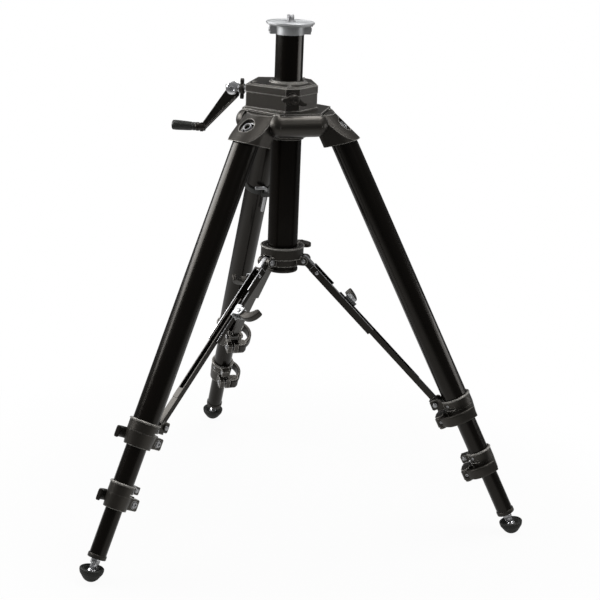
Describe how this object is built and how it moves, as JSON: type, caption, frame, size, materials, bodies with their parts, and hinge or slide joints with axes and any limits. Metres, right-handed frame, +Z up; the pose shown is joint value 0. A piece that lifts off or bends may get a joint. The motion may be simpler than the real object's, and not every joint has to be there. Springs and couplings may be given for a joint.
{
  "type": "geared centre column tripod",
  "caption": "Tripod with braced legs in telescoping stages, lever clamps, ball feet and a column raised by rack, pinion and crank.",
  "frame": {"origin": "on the floor under the column's axis", "axes": "+Z up along the column, +Y towards the rear leg"},
  "size_m": [0.5838, 0.5096, 0.6549],
  "materials": {
    "satin_casting": "satin black powder coat, fine texture",
    "gloss_tube": "gloss black anodised tube",
    "nylon_lever": "moulded black nylon, low sheen",
    "black_sheet": "semi-gloss black enamel on steel",
    "foot_rubber": "matt black rubber",
    "grip_plastic": "smooth black plastic",
    "chrome_steel": "polished chrome",
    "bare_aluminium": "fine brushed bare aluminium",
    "zinc_steel": "bright zinc plate"
  },
  "bodies": {
    "root": {"crown": "satin_casting", "pivot_bolts": "zinc_steel", "sleeve": "gloss_tube", "collar": "satin_casting", "gear_case": "satin_casting", "gear_cover": "satin_casting"},
    "column": {"column_tube": "gloss_tube", "column_rack": "zinc_steel", "head_plate": "bare_aluminium", "head_stud": "zinc_steel"},
    "crank": {"crank_shaft": "chrome_steel", "crank_arm": "black_sheet"},
    "grip": {"crank_grip": "grip_plastic"},
    "friction": {"friction_wing": "nylon_lever"},
    "column_lock": {"lock_lever": "nylon_lever"},
    "knob": {"collar_knob": "nylon_lever"},
    "leg_left": {"casting_left": "satin_casting", "upper_tube_left": "gloss_tube", "upper_clamp_left": "satin_casting"},
    "upper_lever_body_left": {"upper_lever_left": "nylon_lever"},
    "middle_left": {"middle_tube_left": "gloss_tube", "lower_clamp_left": "satin_casting"},
    "lower_lever_body_left": {"lower_lever_left": "nylon_lever"},
    "lower_left": {"lower_tube_left": "gloss_tube", "foot_stem_left": "chrome_steel"},
    "pad_left": {"foot_pad_left": "foot_rubber"},
    "brace_left": {"brace_channel_left": "black_sheet", "brace_bracket_left": "bare_aluminium"},
    "brace_lock_left": {"brace_lever_left": "nylon_lever"},
    "bar_left": {"brace_bar_left": "black_sheet"},
    "leg_right": {"casting_right": "satin_casting", "upper_tube_right": "gloss_tube", "upper_clamp_right": "satin_casting"},
    "upper_lever_body_right": {"upper_lever_right": "nylon_lever"},
    "middle_right": {"middle_tube_right": "gloss_tube", "lower_clamp_right": "satin_casting"},
    "lower_lever_body_right": {"lower_lever_right": "nylon_lever"},
    "lower_right": {"lower_tube_right": "gloss_tube", "foot_stem_right": "chrome_steel"},
    "pad_right": {"foot_pad_right": "foot_rubber"},
    "brace_right": {"brace_channel_right": "black_sheet", "brace_bracket_right": "bare_aluminium"},
    "brace_lock_right": {"brace_lever_right": "nylon_lever"},
    "bar_right": {"brace_bar_right": "black_sheet"},
    "leg_rear": {"casting_rear": "satin_casting", "upper_tube_rear": "gloss_tube", "upper_clamp_rear": "satin_casting", "hex_key": "zinc_steel", "key_clip": "grip_plastic"},
    "upper_lever_body_rear": {"upper_lever_rear": "nylon_lever"},
    "middle_rear": {"middle_tube_rear": "gloss_tube", "lower_clamp_rear": "satin_casting"},
    "lower_lever_body_rear": {"lower_lever_rear": "nylon_lever"},
    "lower_rear": {"lower_tube_rear": "gloss_tube", "foot_stem_rear": "chrome_steel"},
    "pad_rear": {"foot_pad_rear": "foot_rubber"},
    "brace_rear": {"brace_channel_rear": "black_sheet", "brace_bracket_rear": "bare_aluminium"},
    "brace_lock_rear": {"brace_lever_rear": "nylon_lever"},
    "bar_rear": {"brace_bar_rear": "black_sheet"}
  },
  "joints": [
    {"name": "column_slide", "type": "slide", "parent": "root", "child": "column", "axis": [0, 0, 1], "range_m": [-0.055, 0.16]},
    {"name": "crank_turn", "type": "hinge", "parent": "root", "child": "crank", "pos_m": [-0.04103, 0.04893, 0.5565], "axis": [-0.866, 0.5, 0], "range_deg": [-530, 1532]},
    {"name": "grip_spin", "type": "hinge", "parent": "crank", "child": "grip", "pos_m": [-0.10598, 0.08643, 0.5037], "axis": [-0.866, 0.5, 0], "continuous": true},
    {"name": "friction_turn", "type": "hinge", "parent": "root", "child": "friction", "pos_m": [-0.04475, 0.05108, 0.5565], "axis": [-0.866, 0.5, 0], "range_deg": [-60, 120]},
    {"name": "column_lock_turn", "type": "hinge", "parent": "root", "child": "column_lock", "pos_m": [-0.00954, -0.04553, 0.5581], "axis": [0.108, -0.9942, 0], "range_deg": [-40, 40]},
    {"name": "collar_knob_turn", "type": "hinge", "parent": "root", "child": "knob", "pos_m": [0.03464, 0.02, 0.3579], "axis": [0.866, 0.5, 0], "range_deg": [-90, 90]},
    {"name": "leg_fold_left", "type": "hinge", "parent": "root", "child": "leg_left", "pos_m": [-0.04114, -0.02375, 0.5255], "axis": [0.5, -0.866, 0], "range_deg": [0, 22.74]},
    {"name": "upper_lever_left", "type": "hinge", "parent": "leg_left", "child": "upper_lever_body_left", "pos_m": [-0.19907, -0.09773, 0.15059], "axis": [0.3897, 0.225, 0.893], "range_deg": [-110, 0]},
    {"name": "middle_slide_left", "type": "slide", "parent": "leg_left", "child": "middle_left", "axis": [-0.3897, -0.225, -0.893], "range_m": [-0.038, 0.26]},
    {"name": "lower_lever_left", "type": "hinge", "parent": "middle_left", "child": "lower_lever_body_left", "pos_m": [-0.23229, -0.11691, 0.08202], "axis": [0.3897, 0.225, 0.893], "range_deg": [-110, 0]},
    {"name": "lower_slide_left", "type": "slide", "parent": "middle_left", "child": "lower_left", "axis": [-0.3897, -0.225, -0.893], "range_m": [-0.055, 0.29]},
    {"name": "foot_swivel_left", "type": "hinge", "parent": "lower_left", "child": "pad_left", "pos_m": [-0.27771, -0.16034, 0.01186], "axis": [0.5, -0.866, 0], "range_deg": [-15, 15]},
    {"name": "brace_fold_left", "type": "hinge", "parent": "root", "child": "brace_left", "pos_m": [-0.02598, -0.015, 0.3455], "axis": [0.5, -0.866, 0], "range_deg": [-0.5, 38.04]},
    {"name": "brace_lock_left", "type": "hinge", "parent": "brace_left", "child": "brace_lock_left", "pos_m": [-0.06928, -0.0564, 0.29204], "axis": [-0.6018, -0.3474, 0.7191], "range_deg": [0, 35]},
    {"name": "bar_swing_left", "type": "hinge", "parent": "leg_left", "child": "bar_left", "pos_m": [-0.18305, -0.10568, 0.17024], "axis": [0.5, -0.866, 0], "range_deg": [-0.5, 15.3]},
    {"name": "leg_fold_right", "type": "hinge", "parent": "root", "child": "leg_right", "pos_m": [0.04114, -0.02375, 0.5255], "axis": [0.5, 0.866, 0], "range_deg": [0, 22.74]},
    {"name": "upper_lever_right", "type": "hinge", "parent": "leg_right", "child": "upper_lever_body_right", "pos_m": [0.18417, -0.12354, 0.15059], "axis": [-0.3897, 0.225, 0.893], "range_deg": [-110, 0]},
    {"name": "middle_slide_right", "type": "slide", "parent": "leg_right", "child": "middle_right", "axis": [0.3897, -0.225, -0.893], "range_m": [-0.038, 0.26]},
    {"name": "lower_lever_right", "type": "hinge", "parent": "middle_right", "child": "lower_lever_body_right", "pos_m": [0.21739, -0.14272, 0.08202], "axis": [-0.3897, 0.225, 0.893], "range_deg": [-110, 0]},
    {"name": "lower_slide_right", "type": "slide", "parent": "middle_right", "child": "lower_right", "axis": [0.3897, -0.225, -0.893], "range_m": [-0.055, 0.29]},
    {"name": "foot_swivel_right", "type": "hinge", "parent": "lower_right", "child": "pad_right", "pos_m": [0.27771, -0.16034, 0.01186], "axis": [0.5, 0.866, 0], "range_deg": [-15, 15]},
    {"name": "brace_fold_right", "type": "hinge", "parent": "root", "child": "brace_right", "pos_m": [0.02598, -0.015, 0.3455], "axis": [0.5, 0.866, 0], "range_deg": [-0.5, 38.04]},
    {"name": "brace_lock_right", "type": "hinge", "parent": "brace_right", "child": "brace_lock_right", "pos_m": [0.08348, -0.0318, 0.29204], "axis": [0.6018, -0.3474, 0.7191], "range_deg": [0, 35]},
    {"name": "bar_swing_right", "type": "hinge", "parent": "leg_right", "child": "bar_right", "pos_m": [0.18305, -0.10568, 0.17024], "axis": [0.5, 0.866, 0], "range_deg": [-0.5, 15.3]},
    {"name": "leg_fold_rear", "type": "hinge", "parent": "root", "child": "leg_rear", "pos_m": [0, 0.0475, 0.5255], "axis": [-1, 0, 0], "range_deg": [0, 22.74]},
    {"name": "upper_lever_rear", "type": "hinge", "parent": "leg_rear", "child": "upper_lever_body_rear", "pos_m": [0.0149, 0.22127, 0.15059], "axis": [0, -0.45, 0.893], "range_deg": [-110, 0]},
    {"name": "middle_slide_rear", "type": "slide", "parent": "leg_rear", "child": "middle_rear", "axis": [0, 0.45, -0.893], "range_m": [-0.038, 0.26]},
    {"name": "lower_lever_rear", "type": "hinge", "parent": "middle_rear", "child": "lower_lever_body_rear", "pos_m": [0.0149, 0.25963, 0.08202], "axis": [0, -0.45, 0.893], "range_deg": [-110, 0]},
    {"name": "lower_slide_rear", "type": "slide", "parent": "middle_rear", "child": "lower_rear", "axis": [0, 0.45, -0.893], "range_m": [-0.055, 0.29]},
    {"name": "foot_swivel_rear", "type": "hinge", "parent": "lower_rear", "child": "pad_rear", "pos_m": [0, 0.32067, 0.01186], "axis": [-1, 0, 0], "range_deg": [-15, 15]},
    {"name": "brace_fold_rear", "type": "hinge", "parent": "root", "child": "brace_rear", "pos_m": [0, 0.03, 0.3455], "axis": [-1, 0, 0], "range_deg": [-0.5, 38.04]},
    {"name": "brace_lock_rear", "type": "hinge", "parent": "brace_rear", "child": "brace_lock_rear", "pos_m": [-0.0142, 0.0882, 0.29204], "axis": [0, 0.6949, 0.7191], "range_deg": [0, 35]},
    {"name": "bar_swing_rear", "type": "hinge", "parent": "leg_rear", "child": "bar_rear", "pos_m": [0, 0.21137, 0.17024], "axis": [-1, 0, 0], "range_deg": [-0.5, 15.3]}
  ],
  "couplings": [
    {"joint": "crank_turn", "follows": "column_slide", "rad_per_m": 166.67},
    {"joint": "brace_fold_left", "follows": "leg_fold_left", "ratio": 1.6509},
    {"joint": "bar_swing_left", "follows": "leg_fold_left", "ratio": 0.65092},
    {"joint": "brace_fold_right", "follows": "leg_fold_right", "ratio": 1.6509},
    {"joint": "bar_swing_right", "follows": "leg_fold_right", "ratio": 0.65092},
    {"joint": "brace_fold_rear", "follows": "leg_fold_rear", "ratio": 1.6509},
    {"joint": "bar_swing_rear", "follows": "leg_fold_rear", "ratio": 0.65092}
  ]
}
